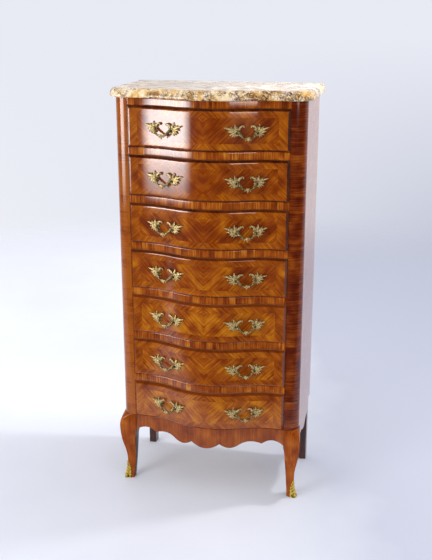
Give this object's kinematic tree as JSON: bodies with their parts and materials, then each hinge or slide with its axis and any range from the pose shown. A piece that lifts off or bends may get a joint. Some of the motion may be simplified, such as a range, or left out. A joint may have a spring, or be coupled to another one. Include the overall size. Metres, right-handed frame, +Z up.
{
  "type": "chest of drawers",
  "caption": "Tall, narrow chest of drawers with a bowed front, marble top, brass pulls and curved front legs.",
  "frame": {"origin": "middle of the bounding box at floor level", "axes": "+Z up, -Y towards the drawer fronts, +X to the right as seen from the front"},
  "size_m": [0.614, 0.3649, 1.29],
  "materials": {
    "marble": "polished, cream with brown veins",
    "inner_oak": "plain planed wood, unfinished",
    "back_boards": "plain stained wood",
    "apron_veneer": "cross-banded veneer, French polished",
    "side_veneer": "veneer, French polished",
    "post_veneer": "cross-banded veneer, French polished",
    "rail_veneer": "cross-banded veneer, French polished",
    "drawer_veneer": "quartered veneer with a cross-banded border, French polished",
    "leg_wood": "veneered and polished wood",
    "dark_leg_wood": "dark stained wood",
    "drawer_oak": "plain planed wood, unfinished",
    "gilt_brass": "cast and chased, aged gilding"
  },
  "bodies": {
    "carcass": {"marble_top": "marble", "top_board": "inner_oak", "bottom_board": "inner_oak", "back_panel": "back_boards", "front_apron": "apron_veneer", "rear_apron": "back_boards", "sabots": "gilt_brass", "drawer_runners": "inner_oak", "side_panel_right": "side_veneer", "side_panel_left": "side_veneer", "front_post_right": "post_veneer", "front_post_left": "post_veneer", "front_leg_right": "leg_wood", "front_leg_left": "leg_wood", "rear_leg_right": "dark_leg_wood", "rear_leg_left": "dark_leg_wood", "side_apron_right": "apron_veneer", "side_apron_left": "apron_veneer", "top_rail": "rail_veneer", "divider_rail_1": "rail_veneer", "divider_rail_2": "rail_veneer", "divider_rail_3": "rail_veneer", "divider_rail_4": "rail_veneer", "divider_rail_5": "rail_veneer", "divider_rail_6": "rail_veneer"},
    "drawer_1": {"drawer_1_front": "drawer_veneer", "drawer_1_sides": "drawer_oak", "drawer_1_back": "drawer_oak", "drawer_1_bottom": "drawer_oak", "drawer_1_pulls": "gilt_brass"},
    "drawer_2": {"drawer_2_front": "drawer_veneer", "drawer_2_sides": "drawer_oak", "drawer_2_back": "drawer_oak", "drawer_2_bottom": "drawer_oak", "drawer_2_pulls": "gilt_brass"},
    "drawer_3": {"drawer_3_front": "drawer_veneer", "drawer_3_sides": "drawer_oak", "drawer_3_back": "drawer_oak", "drawer_3_bottom": "drawer_oak", "drawer_3_pulls": "gilt_brass"},
    "drawer_4": {"drawer_4_front": "drawer_veneer", "drawer_4_sides": "drawer_oak", "drawer_4_back": "drawer_oak", "drawer_4_bottom": "drawer_oak", "drawer_4_pulls": "gilt_brass"},
    "drawer_5": {"drawer_5_front": "drawer_veneer", "drawer_5_sides": "drawer_oak", "drawer_5_back": "drawer_oak", "drawer_5_bottom": "drawer_oak", "drawer_5_pulls": "gilt_brass"},
    "drawer_6": {"drawer_6_front": "drawer_veneer", "drawer_6_sides": "drawer_oak", "drawer_6_back": "drawer_oak", "drawer_6_bottom": "drawer_oak", "drawer_6_pulls": "gilt_brass"},
    "drawer_7": {"drawer_7_front": "drawer_veneer", "drawer_7_sides": "drawer_oak", "drawer_7_back": "drawer_oak", "drawer_7_bottom": "drawer_oak", "drawer_7_pulls": "gilt_brass"}
  },
  "joints": [
    {"name": "drawer_1_slide", "type": "slide", "parent": "carcass", "child": "drawer_1", "axis": [0, -1, 0], "range_m": [0, 0.22]},
    {"name": "drawer_2_slide", "type": "slide", "parent": "carcass", "child": "drawer_2", "axis": [0, -1, 0], "range_m": [0, 0.22]},
    {"name": "drawer_3_slide", "type": "slide", "parent": "carcass", "child": "drawer_3", "axis": [0, -1, 0], "range_m": [0, 0.22]},
    {"name": "drawer_4_slide", "type": "slide", "parent": "carcass", "child": "drawer_4", "axis": [0, -1, 0], "range_m": [0, 0.22]},
    {"name": "drawer_5_slide", "type": "slide", "parent": "carcass", "child": "drawer_5", "axis": [0, -1, 0], "range_m": [0, 0.22]},
    {"name": "drawer_6_slide", "type": "slide", "parent": "carcass", "child": "drawer_6", "axis": [0, -1, 0], "range_m": [0, 0.22]},
    {"name": "drawer_7_slide", "type": "slide", "parent": "carcass", "child": "drawer_7", "axis": [0, -1, 0], "range_m": [0, 0.22]}
  ]
}
